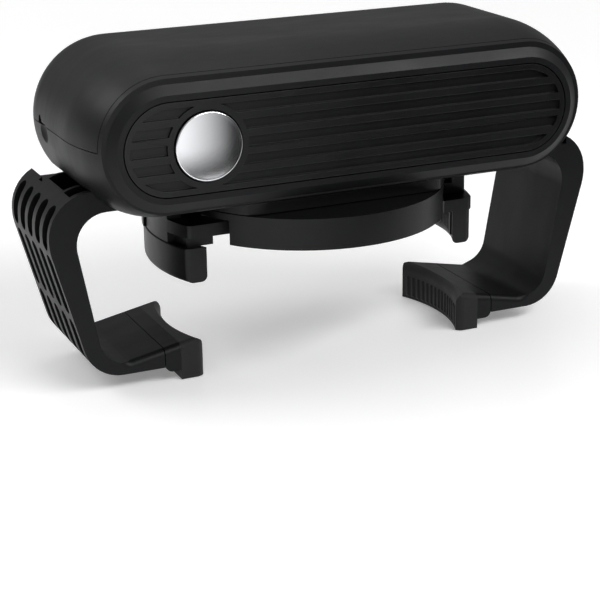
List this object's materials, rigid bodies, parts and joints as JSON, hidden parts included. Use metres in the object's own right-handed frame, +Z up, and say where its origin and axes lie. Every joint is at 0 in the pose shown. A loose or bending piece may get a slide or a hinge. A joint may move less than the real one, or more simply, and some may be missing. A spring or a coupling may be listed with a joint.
{
  "type": "electric jar opener",
  "caption": "Battery jar opener: rounded body with a push button, two sliding arms that grip the jar and a turning head whose jaws grip the lid.",
  "frame": {"origin": "middle of the plane on which the two grip pads' lower faces rest, under the head's turning axis", "axes": "+X along the body towards the motor end, +Y from the front panel to the back, +Z up along the head's turning axis"},
  "size_m": [0.1936, 0.0928, 0.1077],
  "materials": {
    "housing_plastic": "fine spark-eroded soft-touch black",
    "panel_plastic": "satin black",
    "head_plastic": "satin charcoal",
    "arm_plastic": "satin charcoal",
    "button_chrome": "satin chrome, faintly turned",
    "inner_plastic": "moulded dark grey",
    "spring_steel": "drawn wire",
    "switch_plastic": "moulded black",
    "board": "green solder mask",
    "cell_wrap": "plain blue wrap",
    "contact_metal": "nickel plated",
    "motor_steel": "plated steel can",
    "axle_steel": "ground steel",
    "pinion_brass": "cut brass",
    "plate_plastic": "moulded grey",
    "screw_steel": "zinc plated",
    "gear_plastic": "natural acetal",
    "carrier_steel": "pressed steel",
    "rack_plastic": "moulded grey",
    "pad_rubber": "matt black rubber",
    "strip_rubber": "matt black rubber"
  },
  "bodies": {
    "housing": {"main_housing": "housing_plastic", "grille_panel": "panel_plastic", "collar": "head_plastic", "collar_screws": "screw_steel", "switch_body": "switch_plastic", "switch_board": "board", "battery_tray": "inner_plastic", "battery_cells": "cell_wrap", "battery_contacts": "contact_metal", "motor_can": "motor_steel", "gear_plate": "plate_plastic", "gear_top_plate": "plate_plastic", "gear_axles": "axle_steel", "gear_screws": "screw_steel"},
    "cover": {"top_cover": "housing_plastic"},
    "button": {"button_cap": "button_chrome", "button_plunger": "inner_plastic", "button_spring": "spring_steel"},
    "motor_rotor": {"motor_shaft": "axle_steel", "motor_pinion": "pinion_brass"},
    "first_gear": {"first_reduction_gear": "gear_plastic"},
    "second_gear": {"second_reduction_gear": "gear_plastic"},
    "sun": {"sun_gear": "gear_plastic"},
    "carrier": {"planet_carrier": "carrier_steel", "planet_pins": "axle_steel"},
    "planet_1": {"planet_gear_1": "gear_plastic"},
    "planet_2": {"planet_gear_2": "gear_plastic"},
    "planet_3": {"planet_gear_3": "gear_plastic"},
    "ring": {"ring_gear": "gear_plastic"},
    "head": {"head_drum": "head_plastic", "drum_plate": "head_plastic", "drum_screws": "screw_steel", "hub_ring": "carrier_steel"},
    "lid_drive": {"head_shaft": "axle_steel", "lid_pinion": "pinion_brass"},
    "left_arm": {"left_arm_shell": "arm_plastic", "left_arm_rack": "rack_plastic", "left_rack_screws": "screw_steel", "left_shoe": "arm_plastic", "left_grip_pad": "pad_rubber"},
    "right_arm": {"right_arm_shell": "arm_plastic", "right_arm_rack": "rack_plastic", "right_rack_screws": "screw_steel", "right_shoe": "arm_plastic", "right_grip_pad": "pad_rubber"},
    "left_jaw_body": {"left_jaw": "head_plastic", "left_jaw_strip": "strip_rubber"},
    "right_jaw_body": {"right_jaw": "head_plastic", "right_jaw_strip": "strip_rubber"}
  },
  "joints": [
    {"name": "cover_lift", "type": "slide", "parent": "housing", "child": "cover", "axis": [0, 0, 1], "range_m": [0, 0.04]},
    {"name": "button_press", "type": "slide", "parent": "housing", "child": "button", "axis": [0, 1, 0], "range_m": [0, 0.001], "stiffness_N_per_m": 1500, "springref_m": -0.0005},
    {"name": "left_arm_slide", "type": "slide", "parent": "housing", "child": "left_arm", "axis": [-1, 0, 0], "range_m": [-0.022, 0.008]},
    {"name": "right_arm_slide", "type": "slide", "parent": "housing", "child": "right_arm", "axis": [1, 0, 0], "range_m": [-0.022, 0.008]},
    {"name": "ring_spin", "type": "hinge", "parent": "housing", "child": "ring", "pos_m": [0, 0, 0.063], "axis": [0, 0, 1], "range_deg": [-60, 160]},
    {"name": "head_spin", "type": "hinge", "parent": "housing", "child": "head", "pos_m": [0, 0, 0.05], "axis": [0, 0, 1], "continuous": true},
    {"name": "carrier_spin", "type": "hinge", "parent": "housing", "child": "carrier", "pos_m": [0, 0, 0.069], "axis": [0, 0, 1], "continuous": true},
    {"name": "sun_spin", "type": "hinge", "parent": "housing", "child": "sun", "pos_m": [0, 0, 0.078], "axis": [0, 0, 1], "continuous": true},
    {"name": "second_gear_spin", "type": "hinge", "parent": "housing", "child": "second_gear", "pos_m": [0.02218, 0.00312, 0.078], "axis": [0, 0, 1], "continuous": true},
    {"name": "first_gear_spin", "type": "hinge", "parent": "housing", "child": "first_gear", "pos_m": [0.03814, 0.0003, 0.07], "axis": [0, 0, 1], "continuous": true},
    {"name": "motor_spin", "type": "hinge", "parent": "housing", "child": "motor_rotor", "pos_m": [0.05614, 0.0003, 0.07], "axis": [0, 0, 1], "continuous": true},
    {"name": "left_jaw_slide", "type": "slide", "parent": "head", "child": "left_jaw_body", "axis": [-1, 0, 0], "range_m": [-0.018, 0.003]},
    {"name": "right_jaw_slide", "type": "slide", "parent": "head", "child": "right_jaw_body", "axis": [1, 0, 0], "range_m": [-0.018, 0.003]},
    {"name": "lid_pinion_spin", "type": "hinge", "parent": "head", "child": "lid_drive", "pos_m": [0, 0, 0.05], "axis": [0, 0, 1], "range_deg": [-150, 26]},
    {"name": "planet_1_spin", "type": "hinge", "parent": "carrier", "child": "planet_1", "pos_m": [0, 0.012, 0.071], "axis": [0, 0, 1], "continuous": true},
    {"name": "planet_2_spin", "type": "hinge", "parent": "carrier", "child": "planet_2", "pos_m": [-0.01039, -0.006, 0.071], "axis": [0, 0, 1], "continuous": true},
    {"name": "planet_3_spin", "type": "hinge", "parent": "carrier", "child": "planet_3", "pos_m": [0.01039, -0.006, 0.071], "axis": [0, 0, 1], "continuous": true}
  ],
  "couplings": [
    {"joint": "right_arm_slide", "follows": "left_arm_slide", "ratio": 1},
    {"joint": "ring_spin", "follows": "left_arm_slide", "rad_per_m": -125},
    {"joint": "carrier_spin", "follows": "head_spin", "ratio": 1},
    {"joint": "sun_spin", "follows": "head_spin", "ratio": 4},
    {"joint": "planet_1_spin", "follows": "head_spin", "ratio": -3},
    {"joint": "planet_2_spin", "follows": "head_spin", "ratio": -3},
    {"joint": "planet_3_spin", "follows": "head_spin", "ratio": -3},
    {"joint": "second_gear_spin", "follows": "head_spin", "ratio": -14.667},
    {"joint": "first_gear_spin", "follows": "head_spin", "ratio": 51.333},
    {"joint": "motor_spin", "follows": "head_spin", "ratio": -205.33},
    {"joint": "right_jaw_slide", "follows": "left_jaw_slide", "ratio": 1},
    {"joint": "lid_pinion_spin", "follows": "left_jaw_slide", "rad_per_m": 142.86}
  ]
}
